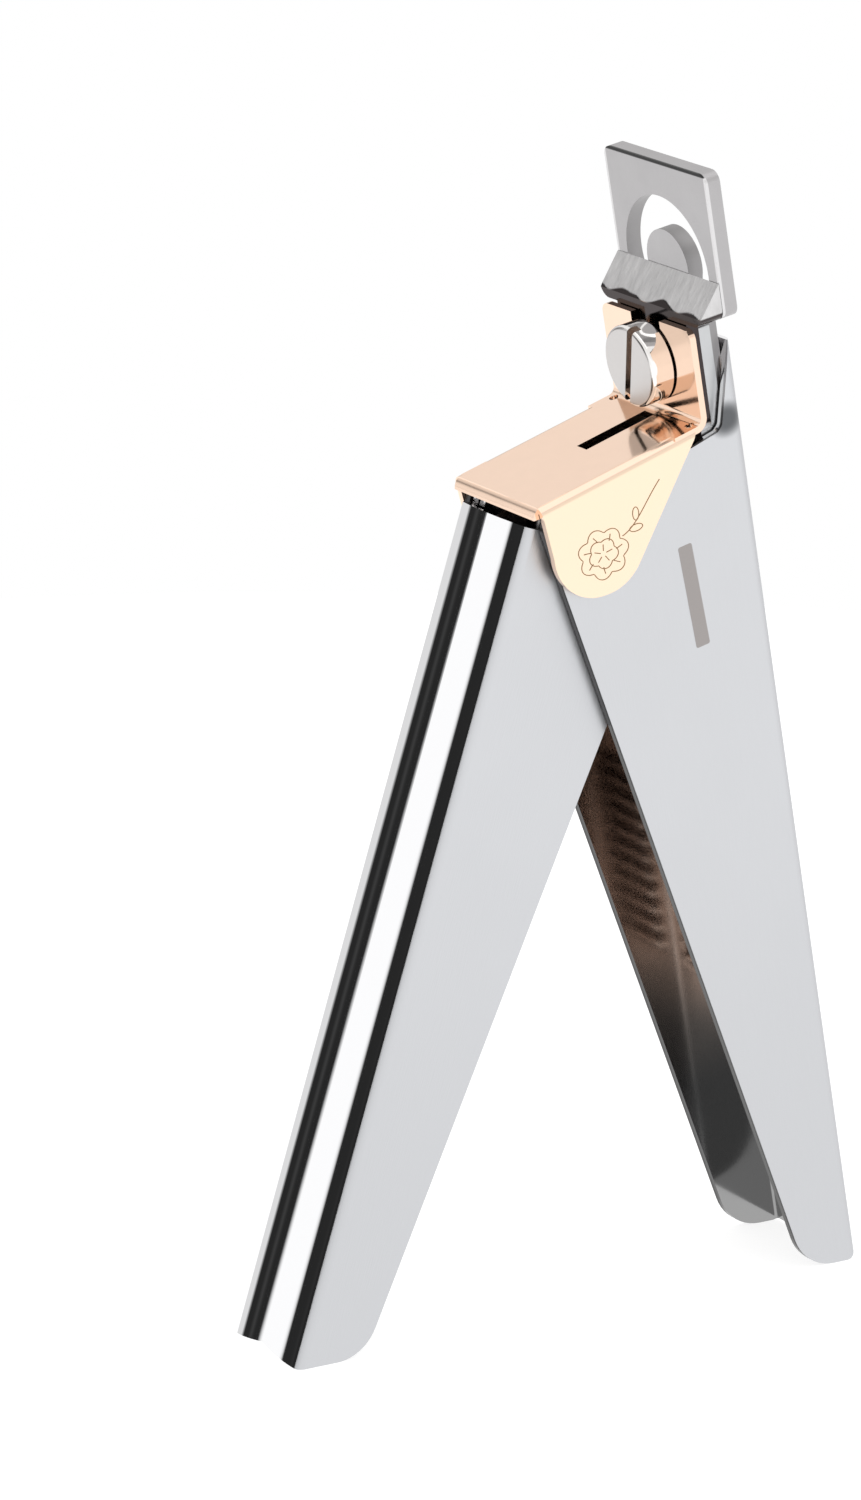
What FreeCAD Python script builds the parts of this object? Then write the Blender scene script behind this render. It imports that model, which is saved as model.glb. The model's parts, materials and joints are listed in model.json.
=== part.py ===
import FreeCAD, Part
import math
import os
import Sketcher

# Hand-held nail-tip cutter: two sheet-metal handles hinged near the top, a thick head plate with a
# crescent opening, and a straight blade that slides up the head plate when the handles are squeezed.
#
# Two tilted frames share the hinge axis as their origin. In the body frame, x points out towards the
# back of the outer handle and z runs up along it. In the lever frame, x points from the back of the
# inner handle towards the outer one and z runs up along it. y is the width in both, and the world
# frame has its origin on the ground, under the middle of the tool.

SIZES = {
    # hinge and stance, with the tool standing on both toes, open on its stop
    "pivot_x": -2.26,
    "pivot_z": 94.3,
    "body_lean": 11.8,
    "lever_lean": 16.24,
    # sheet lengths before the outlines are cut, and general allowances
    "stock_low": -110.0,
    "body_stock": 140.0,
    "body_mouth": -20.0,
    "lever_stock": 125.0,
    "lever_mouth": 20.0,
    "trim_reach": 160.0,
    "round_share": 0.95,
    "overlap": 2.0,
    "cut_spare": 1.0,
    # outer handle
    "body_gauge": 1.0,
    "body_width": 16.6,
    "body_fold": 1.4,
    "body_web": 21.93,
    "body_front_top": 3.2,
    "body_shoulder": 5.2,
    "shoulder_front": -5.6,
    "body_back_top": 6.7,
    "body_back": 14.5,
    "body_neck": 3.7,
    "body_neck_top": 7.4,
    "edge_slope": 0.2021,
    "edge_start": -5.963,
    "body_toe_round": 6.5,
    "toe_corner": 1.5,
    "strip_low": 3.0,
    "strip_low_top": 8.0,
    "strip_round": 1.0,
    "strip_top": 0.5,
    "body_top": 17.6,
    # pressed finger grips on the outer handle's back
    "grip_count": 11,
    "grip_pitch": 2.3,
    "grip_first": -45.5,
    "grip_length": 10.0,
    "ridge_radius": 1.15,
    "ridge_sink": 0.5,
    "groove_radius": 0.9,
    "groove_sink": 0.3,
    # inner handle
    "lever_gauge": 1.0,
    "lever_width": 14.2,
    "lever_fold": 1.3,
    "crown_radius": 26.0,
    "crown_tilt": 13.5,
    "crown_half": 3.1,
    "lever_web": 9.7,
    "lever_top": -0.2,
    "lever_hub": 6.0,
    "shoulder_angle": 33.6,
    "shoulder_low": -6.0,
    "lever_edge_slope": 0.1225,
    "lever_edge_start": 11.92,
    "lever_toe_round": 5.5,
    "lever_toe_corner": 1.0,
    # hinge pin and its bushes
    "pin_radius": 2.0,
    "pin_play": 0.05,
    "bush_radius": 3.0,
    "bush_inner": 0.9,
    "bush_outer": 6.0,
    # return spring
    "wire_radius": 0.5,
    "coil_radius": 3.7,
    "coil_pitch": 1.12,
    "coil_turns": 3.2900,
    "coil_start": -1.6,
    "coil_angle": 35.7,
    "body_leg": 29.8,
    "lever_leg": 18.85,
    # head plate
    "head_thick": 2.0,
    "head_width": 20.4,
    "head_low": 20.8,
    "head_high": 38.2,
    "head_corner": 1.3,
    "opening_radius": 8.2,
    "tongue_radius": 4.1,
    "opening_centre": 25.7,
    "opening_drop": 1.9,
    "tang_thick": 1.0,
    "tang_width": 13.7,
    "tang_low": -14.0,
    # rivets
    "rivet_radius": 1.25,
    "rivet_side": 4.5,
    "rivet_high": 13.0,
    "rivet_low": -11.0,
    # carriage, blade and its screw
    "slide_gap": 0.05,
    "slide_thick": 3.05,
    "lap_thick": 1.5,
    "slide_width": 14.0,
    "slide_low": -9.0,
    "slide_shoulder": 8.5,
    "slide_high": 20.0,
    "window_width": 2.0,
    "window_height": 3.0,
    "block_corner": 0.8,
    "lap_corner": 0.5,
    "edge_height": 25.3,
    "bevel_low": 21.8,
    "blade_low": 20.7,
    "blade_corner": 1.6,
    "shank_low": 8.6,
    "shank_corner": 0.3,
    "shank_overlap": 0.5,
    "screw_height": 15.3,
    "shank_radius": 2.0,
    "shank_end": 0.1,
    "screw_head_radius": 4.9,
    "screw_head_thick": 2.9,
    "screw_head_edge": 0.5,
    "screw_slot_width": 1.0,
    "screw_slot_depth": 1.3,
    "screw_slot_turn": 16.0,
    "collar_radius": 2.8,
    "collar_thick": 1.2,
    # cap bracket
    "cap_gauge": 0.8,
    "cap_width": 18.4,
    "cap_fold": 1.3,
    "cap_rise": 7.266,
    "cap_slope": 0.1261,
    "cap_front": -7.0,
    "lip_front": -7.35,
    "lip_foot": -7.65,
    "lip_low": 5.0,
    "lip_width": 16.6,
    "lip_round": 1.5,
    "flap_round": 6.3,
    "flap_front": -6.3,
    "flap_back_angle": -38.5,
    "upright_front": 15.85,
    "upright_high": 20.5,
    "upright_width": 17.8,
    "upright_corner": 1.2,
    "upright_bend": 0.9,
    "guide_width": 5.8,
    "guide_low": 12.2,
    "guide_corner": 1.2,
    "flap_back": 14.8,
    "flap_back_drop": 1.0,
    "cap_back": 15.2,
    "hollow_front": -12.0,
    "hollow_back": 20.0,
    "lip_back": -3.0,
    "upright_foot": 12.0,
    "cap_slot_front": 4.97,
    "cap_slot_back": 14.67,
    "cap_slot_width": 2.0,
    "relief_radius": 0.55,
    "relief_x": 14.9,
    "relief_y": 7.7,
    # drive arm welded into the inner handle
    "arm_thick": 1.6,
    "nose_reach": 18.2,
    "nose_angle": 13.04,
    "nose_radius": 1.4,
    "nose_neck": 2.0,
    "neck_start": 15.2,
    "arm_hub": 5.0,
    "arm_rim": 16.2,
    "weld_high": -1.0,
    "weld_low": -14.0,
    "weld_foot": 3.0,
    "weld_round": 2.0,
    "belly_share": 0.2,
    "belly_round": 8.0,
    "chin_share": 0.9,
    "chin_round": 6.0,
    "throat_round": 1.5,
    "brow_inset": 0.4,
    "brow_round": 0.8,
    "rim_low_angle": 25.0,
    "rim_high_angle": 40.0,
    "rim_round": 6.0,
    "crest_round": 1.2,
    "nape_x": 5.2,
    "nape_z": 6.3,
    "nape_round": 1.0,
    "back_share": 0.3,
    "back_round": 4.0,
    "crest_reach": 14.95,
    "crest_angle": 57.7,
}

doc = FreeCAD.newDocument("nail_tip_cutter")
sheet = doc.addObject("Spreadsheet::Sheet", "Dims")
for row, (alias, size) in enumerate(SIZES.items(), start=1):
    sheet.set(f"A{row}", alias)
    sheet.set(f"B{row}", str(size))
    sheet.setAlias(f"B{row}", alias)
doc.recompute()

PIVOT = FreeCAD.Vector(sheet.pivot_x, 0, sheet.pivot_z)
ACROSS = FreeCAD.Vector(0, 1, 0)
BODY_FRAME = FreeCAD.Placement(PIVOT, FreeCAD.Rotation(ACROSS, -sheet.body_lean))
LEVER_FRAME = FreeCAD.Placement(PIVOT, FreeCAD.Rotation(ACROSS, sheet.lever_lean))
SUBPARTS = []


def cell(alias):
    """Expression for one cell of the sheet."""
    return f"Dims.{alias}"


def number(owner, expression):
    """Present value of an expression, as a plain number."""
    result = owner.evalExpression(expression)
    return float(getattr(result, "Value", result))


# Sub-part and feature helpers ---------------------------------------------------------------------

def new_body(name, placement):
    body = doc.addObject("PartDesign::Body", name)
    body.Label = name
    body.Placement = placement
    SUBPARTS.append(body)
    return body


def keep(item, name, placement):
    """Registers a Part object as a sub-part."""
    item.Label = name
    item.Placement = placement
    SUBPARTS.append(item)
    return item


def new_sketch(body, plane, name, offset=None):
    """Sketch on one of the body's own origin planes, moved along its normal by an expression."""
    sketch = body.newObject("Sketcher::SketchObject", name)
    origin_plane = [f for f in body.Origin.OriginFeatures if f.Role == plane][0]
    sketch.AttachmentSupport = [(origin_plane, "")]
    sketch.MapMode = "FlatFace"
    if offset:
        sketch.setExpression("AttachmentOffset.Base.z", offset)
    return sketch


def hold(sketch, kind, *where):
    """Adds a dimension: the last argument is its expression."""
    *refs, expression = where
    index = sketch.addConstraint(Sketcher.Constraint(kind, *refs, number(sketch, expression)))
    sketch.setExpression(f"Constraints[{index}]", expression)


def pin_down(sketch, shape, point, x, y):
    """Fixes a point of a sketch at the place given by two expressions."""
    hold(sketch, "DistanceX", -1, 1, shape, point, x)
    hold(sketch, "DistanceY", -1, 1, shape, point, y)


def loop(sketch, corners):
    """Closed outline through corners (x, y) or, where the corner is rounded, (x, y, radius)."""
    count = len(corners)
    places = [FreeCAD.Vector(number(sketch, c[0]), number(sketch, c[1]), 0) for c in corners]
    radii = [number(sketch, c[2]) if len(c) > 2 else 0 for c in corners]
    entries, exits = [], []
    for i, place in enumerate(places):
        back = (places[i - 1] - place).normalize()
        ahead = (places[(i + 1) % count] - place).normalize()
        reach = 0
        if radii[i]:
            reach = radii[i] / math.tan(back.getAngle(ahead) / 2)
        entries.append(place + back * reach)
        exits.append(place + ahead * reach)
    sides = []
    for i in range(count):
        side = sketch.addGeometry(Part.LineSegment(exits[i], entries[(i + 1) % count]), False)
        sides.append(side)
    for i, corner in enumerate(corners):
        before, after = sides[i - 1], sides[i]
        if not radii[i]:
            sketch.addConstraint(Sketcher.Constraint("Coincident", before, 2, after, 1))
            pin_down(sketch, after, 1, corner[0], corner[1])
            continue
        vertex = sketch.addGeometry(Part.Point(places[i]), True)
        pin_down(sketch, vertex, 1, corner[0], corner[1])
        sketch.addConstraint(Sketcher.Constraint("PointOnObject", vertex, 1, before))
        sketch.addConstraint(Sketcher.Constraint("PointOnObject", vertex, 1, after))
        middle = (entries[i] + exits[i]) / 2
        inward = (middle - places[i]).normalize()
        spread = (entries[i] - exits[i]).Length / 2
        rise = math.sqrt(radii[i] ** 2 - spread ** 2)
        centre = middle + inward * rise
        arc = sketch.addGeometry(Part.Arc(entries[i], centre - inward * radii[i], exits[i]), False)
        turned = (entries[i] - places[i]).cross(exits[i] - places[i]).z > 0
        first, last = (2, 1) if turned else (1, 2)
        sketch.addConstraint(Sketcher.Constraint("Tangent", before, 2, arc, first))
        sketch.addConstraint(Sketcher.Constraint("Tangent", after, 1, arc, last))
        hold(sketch, "Radius", arc, corner[2])


def ring(sketch, x, y, radius):
    """Circle at the place given by two expressions."""
    spot = FreeCAD.Vector(number(sketch, x), number(sketch, y), 0)
    circle = Part.Circle(spot, FreeCAD.Vector(0, 0, 1), number(sketch, radius))
    shape = sketch.addGeometry(circle, False)
    pin_down(sketch, shape, 3, x, y)
    hold(sketch, "Radius", shape, radius)


def box_loop(sketch, left, right, low, high, corner=None):
    """Rectangle between four expressions, with its corners rounded if a radius is given."""
    rounding = (corner,) if corner else ()
    spots = [(left, low), (right, low), (right, high), (left, high)]
    loop(sketch, [spot + rounding for spot in spots])


def pad(body, sketch, length, middle=False):
    feature = body.newObject("PartDesign::Pad", sketch.Name + "_pad")
    feature.Profile = sketch
    feature.SideType = "Symmetric" if middle else "One side"
    feature.setExpression("Length", length)
    sketch.Visibility = False
    doc.recompute()
    return feature


def through_cut(body, sketch):
    """Cuts the sketch's outline out of the whole body, both ways from the sketch."""
    before = body.Shape.Volume
    feature = body.newObject("PartDesign::Pocket", sketch.Name + "_cut")
    feature.Profile = sketch
    feature.SideType = "Symmetric"
    feature.Type = "ThroughAll"
    doc.recompute()
    if body.Shape.Volume >= before:
        raise RuntimeError(f"{feature.Label} cuts nothing")
    return feature


def deep_cut(body, sketch, length, middle=False):
    """Cuts the sketch's outline to a depth."""
    before = body.Shape.Volume
    feature = body.newObject("PartDesign::Pocket", sketch.Name + "_cut")
    feature.Profile = sketch
    feature.SideType = "Symmetric" if middle else "One side"
    feature.setExpression("Length", length)
    doc.recompute()
    if body.Shape.Volume >= before:
        raise RuntimeError(f"{feature.Label} cuts nothing")
    return feature


def round_edges(body, base, radius, wanted):
    """Fillets the edges of a feature whose middle point satisfies a test."""
    names = []
    for index, edge in enumerate(base.Shape.Edges, start=1):
        span = edge.ParameterRange
        middle = edge.valueAt((span[0] + span[1]) / 2)
        if wanted(middle, edge):
            names.append(f"Edge{index}")
    feature = body.newObject("PartDesign::Fillet", base.Name + "_round")
    feature.Base = (base, names)
    feature.setExpression("Radius", radius)
    doc.recompute()
    return feature


def body_channel(sketch):
    """U section of the outer handle's folded sheet, open at its front."""
    web, mouth = cell("body_web"), cell("body_mouth")
    gauge, fold = cell("body_gauge"), cell("body_fold")
    inner = f"{web} - {gauge}"
    half = f"{cell('body_width')} / 2"
    wall = f"({half} - {gauge})"
    loop(sketch, [
        (mouth, half),
        (web, half, fold),
        (web, f"-{half}", fold),
        (mouth, f"-{half}"),
        (mouth, f"-{wall}"),
        (inner, f"-{wall}", f"{fold} - {gauge}"),
        (inner, wall, f"{fold} - {gauge}"),
        (mouth, wall),
    ])


def lever_channel(sketch):
    """U section of the inner handle's folded sheet: a crowned back and two flat side plates."""
    web, mouth = f"-{cell('lever_web')}", cell("lever_mouth")
    gauge, fold = cell("lever_gauge"), cell("lever_fold")
    tilt, flat, crown = cell("crown_tilt"), cell("crown_half"), cell("crown_radius")
    half = f"{cell('lever_width')} / 2"
    wall = f"({half} - {gauge})"
    inner = f"{web} + {gauge}"
    inner_flat = f"({flat} - {gauge} * tan({tilt} / 2))"
    shoulder = f"{web} + ({half} - {flat}) * tan({tilt})"
    inner_shoulder = f"{inner} + ({wall} - {inner_flat}) * tan({tilt})"
    loop(sketch, [
        (mouth, half),
        (shoulder, half, fold),
        (web, flat, crown),
        (web, f"-{flat}", crown),
        (shoulder, f"-{half}", fold),
        (mouth, f"-{half}"),
        (mouth, f"-{wall}"),
        (inner_shoulder, f"-{wall}", f"{fold} - {gauge}"),
        (inner, f"-{inner_flat}", f"{crown} - {gauge}"),
        (inner, inner_flat, f"{crown} - {gauge}"),
        (inner_shoulder, wall, f"{fold} - {gauge}"),
        (mouth, wall),
    ])


def trim(body, name, profile):
    """Keeps only what lies inside a side profile, by cutting away a frame around it."""
    reach = cell("trim_reach")
    sketch = new_sketch(body, "XZ_Plane", name)
    box_loop(sketch, f"-{reach}", reach, f"-{reach}", reach)
    loop(sketch, profile)
    return through_cut(body, sketch)


# Outer handle -------------------------------------------------------------------------------------

def body_ground(x):
    """Height of the ground in the body frame, at a given x."""
    return f"-({cell('pivot_z')} + ({x}) * sin({cell('body_lean')})) / cos({cell('body_lean')})"


def lever_ground(x):
    """Height of the ground in the lever frame, at a given x."""
    return f"(({x}) * sin({cell('lever_lean')}) - {cell('pivot_z')}) / cos({cell('lever_lean')})"


def body_toe():
    """Where the outer handle's slanting free edge would meet the ground."""
    lean, slope, start = cell("body_lean"), cell("edge_slope"), cell("edge_start")
    height = f"-({cell('pivot_z')} + {start} * sin({lean})) / (cos({lean}) - {slope} * sin({lean}))"
    return f"{start} - {slope} * ({height})", height


def lever_toe():
    """Where the inner handle's slanting free edge would meet the ground."""
    lean, slope = cell("lever_lean"), cell("lever_edge_slope")
    start = cell("lever_edge_start")
    height = f"({start} * sin({lean}) - {cell('pivot_z')}) / (cos({lean}) - {slope} * sin({lean}))"
    return f"{start} + {slope} * ({height})", height


def capsule(body, name, x, z, radius, length, cut):
    """Round-ended bar across the handle, added to it or cut from it."""
    sketch = new_sketch(body, "XY_Plane", name, z)
    half = f"{length} / 2"
    end = f"{cell('round_share')} * {radius}"
    across = number(sketch, x)
    line = Part.LineSegment(FreeCAD.Vector(across, -1, 0), FreeCAD.Vector(across, 1, 0))
    axis = sketch.addGeometry(line, True)
    pin_down(sketch, axis, 1, x, "-1")
    pin_down(sketch, axis, 2, x, "1")
    loop(sketch, [
        (x, f"-{half}"),
        (f"{x} + {radius}", f"-{half}", end),
        (f"{x} + {radius}", half, end),
        (x, half),
    ])
    kind = "PartDesign::Groove" if cut else "PartDesign::Revolution"
    feature = body.newObject(kind, name + "_turn")
    feature.Profile = sketch
    feature.ReferenceAxis = (sketch, ["Axis0"])
    feature.Angle = 360
    doc.recompute()
    repeat = body.newObject("PartDesign::LinearPattern", name + "_row")
    repeat.Originals = [feature]
    repeat.Direction = ([f for f in body.Origin.OriginFeatures if f.Role == "Z_Axis"][0], [""])
    repeat.Reversed = True
    repeat.setExpression("Length", f"({cell('grip_count')} - 1) * {cell('grip_pitch')}")
    repeat.setExpression("Occurrences", cell("grip_count"))
    body.Tip = repeat
    doc.recompute()


def rivet_places():
    return [
        (cell("rivet_side"), cell("rivet_high")),
        (f"-{cell('rivet_side')}", cell("rivet_high")),
        ("0", cell("rivet_low")),
    ]


def rivet_holes(body, name):
    sketch = new_sketch(body, "YZ_Plane", name)
    for y, z in rivet_places():
        ring(sketch, y, z, cell("rivet_radius"))
    through_cut(body, sketch)


def make_body_handle():
    body = new_body("body_handle", BODY_FRAME)
    section = new_sketch(body, "XY_Plane", "body_section", cell("stock_low"))
    body_channel(section)
    pad(body, section, cell("body_stock"))
    web = cell("body_web")
    toe_x, toe_z = body_toe()
    front = f"{cell('edge_start')} - {cell('edge_slope')} * {cell('body_front_top')}"
    trim(body, "body_profile", [
        (front, cell("body_front_top")),
        (toe_x, toe_z, cell("body_toe_round")),
        (web, body_ground(web), cell("toe_corner")),
        (web, cell("body_top")),
        (f"{web} - {cell('strip_top')}", cell("body_top")),
        (f"{web} - {cell('strip_low')}", cell("strip_low_top"), cell("strip_round")),
        (f"{web} - {cell('body_neck')}", cell("body_neck_top")),
        (cell("body_back"), cell("body_back_top")),
        (cell("shoulder_front"), cell("body_shoulder")),
    ])
    hinge = new_sketch(body, "XZ_Plane", "body_hinge")
    ring(hinge, "0", "0", cell("pin_radius"))
    through_cut(body, hinge)
    rivet_holes(body, "body_rivets")
    inner = f"{web} - {cell('body_gauge')}"
    capsule(body, "grip_ridge", f"{inner} + {cell('ridge_sink')}", cell("grip_first"),
            cell("ridge_radius"), cell("grip_length"), False)
    capsule(body, "grip_groove", f"{web} + {cell('groove_sink')}", cell("grip_first"),
            cell("groove_radius"), cell("grip_length"), True)


# Inner handle and its drive arm -------------------------------------------------------------------

def make_lever_handle():
    body = new_body("lever_handle", LEVER_FRAME)
    section = new_sketch(body, "XY_Plane", "lever_section", cell("stock_low"))
    lever_channel(section)
    pad(body, section, cell("lever_stock"))
    web = f"-{cell('lever_web')}"
    hub, turn = cell("lever_hub"), cell("shoulder_angle")
    low = cell("shoulder_low")
    hub_round = f"{cell('round_share')} * {hub}"
    toe_x, toe_z = lever_toe()
    trim(body, "lever_profile", [
        (web, cell("lever_top")),
        (web, lever_ground(web), cell("lever_toe_corner")),
        (toe_x, toe_z, cell("lever_toe_round")),
        (f"({hub} - {low} * sin({turn})) / cos({turn})", low),
        (f"{hub} * (1 - sin({turn})) / cos({turn})", hub, hub_round),
        (f"-{hub}", hub, hub_round),
        (f"-{hub}", cell("lever_top")),
    ])
    hinge = new_sketch(body, "XZ_Plane", "lever_hinge")
    ring(hinge, "0", "0", f"{cell('pin_radius')} + {cell('pin_play')}")
    through_cut(body, hinge)


def make_drive_arm():
    """Plate on the hinge pin: its tail is welded to the inner handle, its nose lifts the carriage."""
    body = new_body("drive_arm", LEVER_FRAME)
    plate = new_sketch(body, "XZ_Plane", "arm_outline")
    turn = cell("nose_angle")
    weld = f"-({cell('lever_web')} - {cell('lever_gauge')})"

    def beside_neck(reach, side):
        """Point at a reach along the neck's centre line, half a neck's width to one side."""
        half = f"{side} * {cell('nose_neck')} / 2"
        return (f"({reach}) * cos({turn}) - ({half}) * sin({turn})",
                f"({reach}) * sin({turn}) + ({half}) * cos({turn})")

    def polar(reach, angle):
        return f"({reach}) * cos({angle})", f"({reach}) * sin({angle})"

    rim, hub = cell("arm_rim"), cell("arm_hub")
    brow = f"{cell('neck_start')} - {cell('brow_inset')}"
    loop(plate, [
        (weld, cell("weld_high")),
        (weld, cell("weld_low")),
        (f"{weld} + {cell('weld_foot')}", cell("weld_low"), cell("weld_round")),
        (f"-{hub} * {cell('belly_share')}", f"-{hub}", cell("belly_round")),
        (hub, f"-{hub} * {cell('chin_share')}", cell("chin_round")),
        (*beside_neck(cell("neck_start"), "-1"), cell("throat_round")),
        beside_neck(cell("nose_reach"), "-1"),
        beside_neck(cell("nose_reach"), "1"),
        (*beside_neck(brow, "1"), cell("brow_round")),
        polar(rim, cell("rim_low_angle")),
        (*polar(rim, cell("rim_high_angle")), cell("rim_round")),
        (*polar(cell("crest_reach"), cell("crest_angle")), cell("crest_round")),
        (cell("nape_x"), cell("nape_z"), cell("nape_round")),
        (f"-{hub} * {cell('back_share')}", hub, cell("back_round")),
    ])
    pad(body, plate, cell("arm_thick"), True)
    nose = new_sketch(body, "XZ_Plane", "arm_nose")
    ring(nose, *polar(cell("nose_reach"), turn), cell("nose_radius"))
    pad(body, nose, cell("arm_thick"), True)
    bore = new_sketch(body, "XZ_Plane", "arm_bore")
    ring(bore, "0", "0", f"{cell('pin_radius')} + {cell('pin_play')}")
    through_cut(body, bore)


# Hinge pin, bushes and spring ---------------------------------------------------------------------

def make_pin():
    pin = doc.addObject("Part::Cylinder", "pivot_pin")
    pin.setExpression("Radius", cell("pin_radius"))
    pin.setExpression("Height", cell("body_width"))
    half = sheet.body_width / 2
    lie_down = FreeCAD.Rotation(FreeCAD.Vector(1, 0, 0), 90)
    keep(pin, "pivot_pin", FreeCAD.Placement(PIVOT + ACROSS * half, lie_down))


def make_bush(name, side):
    """Bush on the pin, between the drive arm and one side plate of the inner handle."""
    body = new_body(name, BODY_FRAME)
    sketch = new_sketch(body, "XZ_Plane", name + "_ring", f"{-side} * {cell('bush_inner')}")
    ring(sketch, "0", "0", cell("bush_radius"))
    ring(sketch, "0", "0", cell("pin_radius"))
    tube = pad(body, sketch, f"{cell('bush_outer')} - {cell('bush_inner')}")
    tube.Reversed = side > 0
    doc.recompute()


def make_spring():
    """Torsion spring on the near bush, with one leg on each handle."""
    coil = doc.addObject("Part::Helix", "spring_line")
    coil.setExpression("Radius", cell("coil_radius"))
    coil.setExpression("Pitch", cell("coil_pitch"))
    coil.setExpression("Height", f"{cell('coil_pitch')} * {cell('coil_turns')}")
    wire = doc.addObject("Part::Circle", "spring_wire")
    wire.setExpression("Radius", cell("wire_radius"))
    wire.Placement = FreeCAD.Placement(FreeCAD.Vector(sheet.coil_radius, 0, 0),
                                       FreeCAD.Rotation(FreeCAD.Vector(1, 0, 0), -90))
    wire.setExpression("Placement.Base.x", cell("coil_radius"))
    turns = doc.addObject("Part::Sweep", "spring_turns")
    turns.Sections = [wire]
    turns.Spine = (coil, ["Edge1"])
    turns.Solid = True
    turns.Frenet = True
    pieces = [turns]
    ends = [(0, -1, cell("body_leg")), (sheet.coil_turns * 360, 1, cell("lever_leg"))]
    for index, (angle, way, length) in enumerate(ends):
        radians = math.radians(angle)
        spot = FreeCAD.Vector(math.cos(radians) * sheet.coil_radius, math.sin(radians) * sheet.coil_radius,
                              sheet.coil_pitch * angle / 360)
        along = FreeCAD.Vector(-math.sin(radians), math.cos(radians), 0) * way
        leg = doc.addObject("Part::Cylinder", f"spring_leg_{index}")
        leg.setExpression("Radius", cell("wire_radius"))
        leg.setExpression("Height", length)
        leg.Placement = FreeCAD.Placement(spot, FreeCAD.Rotation(FreeCAD.Vector(0, 0, 1), along))
        knee = doc.addObject("Part::Sphere", f"spring_knee_{index}")
        knee.setExpression("Radius", cell("wire_radius"))
        knee.Placement = FreeCAD.Placement(spot, FreeCAD.Rotation())
        pieces += [leg, knee]
    spring = doc.addObject("Part::MultiFuse", "return_spring")
    spring.Shapes = pieces
    lay_down = FreeCAD.Placement(ACROSS * sheet.coil_start, FreeCAD.Rotation(FreeCAD.Vector(1, 0, 0), 90))
    wind = FreeCAD.Placement(FreeCAD.Vector(), FreeCAD.Rotation(FreeCAD.Vector(0, 0, 1), sheet.coil_angle))
    keep(spring, "return_spring", BODY_FRAME * lay_down * wind)


# Head plate and rivets ----------------------------------------------------------------------------

def head_face():
    """Front face of the head plate and its tang."""
    return f"{cell('body_web')} - {cell('head_thick')}"


def crescent(sketch, centre, outer, inner, drop):
    """Crescent opening around a round tongue: two arcs about one centre, joined by round ends."""
    middle = number(sketch, centre)
    big, small = number(sketch, outer), number(sketch, inner)
    mean, cap = (big + small) / 2, (big - small) / 2
    dip = math.asin(number(sketch, drop) / mean)
    normal = FreeCAD.Vector(0, 0, 1)
    spot = FreeCAD.Vector(0, middle, 0)
    arcs = []
    for radius in (big, small):
        arc = Part.ArcOfCircle(Part.Circle(spot, normal, radius), -dip, math.pi + dip)
        arcs.append(sketch.addGeometry(arc, False))
    right = FreeCAD.Vector(mean * math.cos(dip), middle - mean * math.sin(dip), 0)
    left = FreeCAD.Vector(-right.x, right.y, 0)
    ends = [
        Part.ArcOfCircle(Part.Circle(right, normal, cap), math.pi - dip, 2 * math.pi - dip),
        Part.ArcOfCircle(Part.Circle(left, normal, cap), math.pi + dip, 2 * math.pi + dip),
    ]
    right_end, left_end = [sketch.addGeometry(end, False) for end in ends]
    pin_down(sketch, arcs[0], 3, "0", centre)
    sketch.addConstraint(Sketcher.Constraint("Coincident", arcs[1], 3, arcs[0], 3))
    hold(sketch, "Radius", arcs[0], outer)
    hold(sketch, "Radius", arcs[1], inner)
    sketch.addConstraint(Sketcher.Constraint("Tangent", arcs[1], 1, right_end, 1))
    sketch.addConstraint(Sketcher.Constraint("Tangent", arcs[0], 1, right_end, 2))
    sketch.addConstraint(Sketcher.Constraint("Tangent", arcs[0], 2, left_end, 1))
    sketch.addConstraint(Sketcher.Constraint("Tangent", arcs[1], 2, left_end, 2))
    for end in (right_end, left_end):
        hold(sketch, "DistanceY", -1, 1, end, 3, f"{centre} - {drop}")


def make_head_plate():
    body = new_body("head_plate", BODY_FRAME)
    tang = new_sketch(body, "YZ_Plane", "tang_outline", head_face())
    half = f"{cell('tang_width')} / 2"
    box_loop(tang, f"-{half}", half, cell("tang_low"), f"{cell('head_low')} + {cell('overlap')}")
    pad(body, tang, cell("tang_thick"))
    head = new_sketch(body, "YZ_Plane", "head_outline", head_face())
    side = f"{cell('head_width')} / 2"
    box_loop(head, f"-{side}", side, cell("head_low"), cell("head_high"), cell("head_corner"))
    pad(body, head, cell("head_thick"))
    opening = new_sketch(body, "YZ_Plane", "head_opening")
    crescent(opening, cell("opening_centre"), cell("opening_radius"), cell("tongue_radius"),
             cell("opening_drop"))
    through_cut(body, opening)
    rivet_holes(body, "tang_rivets")


def make_rivets():
    """Three rivets, flush on both faces, that hold the tang to the outer handle."""
    rivets = []
    for index, (y, z) in enumerate(rivet_places()):
        rivet = doc.addObject("Part::Cylinder", f"rivet_{index}")
        rivet.setExpression("Radius", cell("rivet_radius"))
        rivet.setExpression("Height", cell("head_thick"))
        spot = FreeCAD.Vector(number(rivet, head_face()), number(rivet, y), number(rivet, z))
        rivet.Placement = FreeCAD.Placement(spot, FreeCAD.Rotation(ACROSS, 90))
        rivets.append(rivet)
    group = doc.addObject("Part::Compound", "head_rivets")
    group.Links = rivets
    keep(group, "head_rivets", BODY_FRAME)


# Carriage, blade, screw and collar ----------------------------------------------------------------

def slide_back():
    """Face of the carriage and the blade that runs on the head plate."""
    return f"{head_face()} - {cell('slide_gap')}"


def slide_front():
    return f"{slide_back()} - {cell('slide_thick')}"


def lap_face():
    """Where the blade's shank lies on the carriage's upper half."""
    return f"{slide_back()} - {cell('lap_thick')}"


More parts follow.
